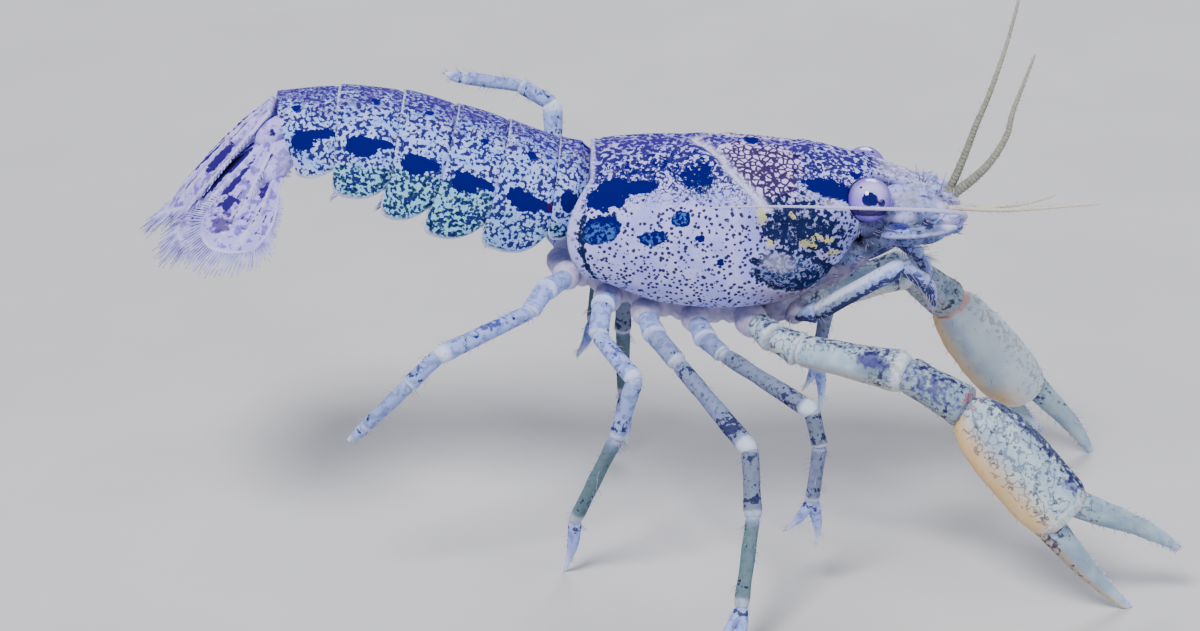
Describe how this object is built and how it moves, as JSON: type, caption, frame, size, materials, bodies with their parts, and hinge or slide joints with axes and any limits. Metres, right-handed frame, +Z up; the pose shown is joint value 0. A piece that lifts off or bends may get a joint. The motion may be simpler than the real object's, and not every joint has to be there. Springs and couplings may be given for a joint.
{
  "type": "dwarf crayfish",
  "caption": "Life-size still model of a dwarf crayfish standing on its claw tips and feet, with its abdomen raised and its tail fan lowered behind it.",
  "frame": {"origin": "on the floor, under the middle of the animal's box", "axes": "+X towards the head, +Y to the animal's left, +Z up"},
  "size_m": [0.0448, 0.0228, 0.025],
  "materials": {
    "shell": "pale lilac shell with a blue-violet network and deep-blue blotches, slightly glossy",
    "tail_fan": "pale lilac, thin, with white fringe and a few dark-blue streaks",
    "claw": "grey-white with dark wavy lines and a warm lower edge",
    "leg": "pale blue-white, slightly translucent, mottled, joints white",
    "underside": "pale lilac-white",
    "feeler": "cream to grey-brown with darker rings",
    "eye": "glossy lilac globe with a dark-blue pupil and violet bands"
  },
  "bodies": {
    "root": {"carapace": "shell", "sternum": "underside", "mouthparts": "underside", "abdomen_1": "shell", "abdomen_2": "shell", "abdomen_3": "shell", "abdomen_4": "shell", "abdomen_5": "shell", "abdomen_6": "shell", "telson": "tail_fan", "uropod_inner_left": "tail_fan", "uropod_outer_left": "tail_fan", "eye_left": "eye", "antenna_left": "feeler", "antennule_left": "feeler", "antennal_scale_left": "feeler", "maxilliped_left": "underside", "claw_left_base": "claw", "claw_left_arm": "claw", "claw_left_wrist": "claw", "claw_left_palm": "claw", "claw_left_finger": "claw", "leg_left_2_base": "leg", "leg_left_2_thigh": "leg", "leg_left_2_shank": "leg", "leg_left_3_base": "leg", "leg_left_3_thigh": "leg", "leg_left_3_shank": "leg", "leg_left_4_base": "leg", "leg_left_4_thigh": "leg", "leg_left_4_shank": "leg", "leg_left_5_base": "leg", "leg_left_5_thigh": "leg", "leg_left_5_shank": "leg", "uropod_inner_right": "tail_fan", "uropod_outer_right": "tail_fan", "eye_right": "eye", "antenna_right": "feeler", "antennule_right": "feeler", "antennal_scale_right": "feeler", "maxilliped_right": "underside", "claw_right_base": "claw", "claw_right_arm": "claw", "claw_right_wrist": "claw", "claw_right_palm": "claw", "claw_right_finger": "claw", "leg_right_2_base": "leg", "leg_right_2_thigh": "leg", "leg_right_2_shank": "leg", "leg_right_3_base": "leg", "leg_right_3_thigh": "leg", "leg_right_3_shank": "leg", "leg_right_4_base": "leg", "leg_right_4_thigh": "leg", "leg_right_4_shank": "leg", "leg_right_5_base": "leg", "leg_right_5_thigh": "leg", "leg_right_5_shank": "leg"}
  },
  "joints": []
}
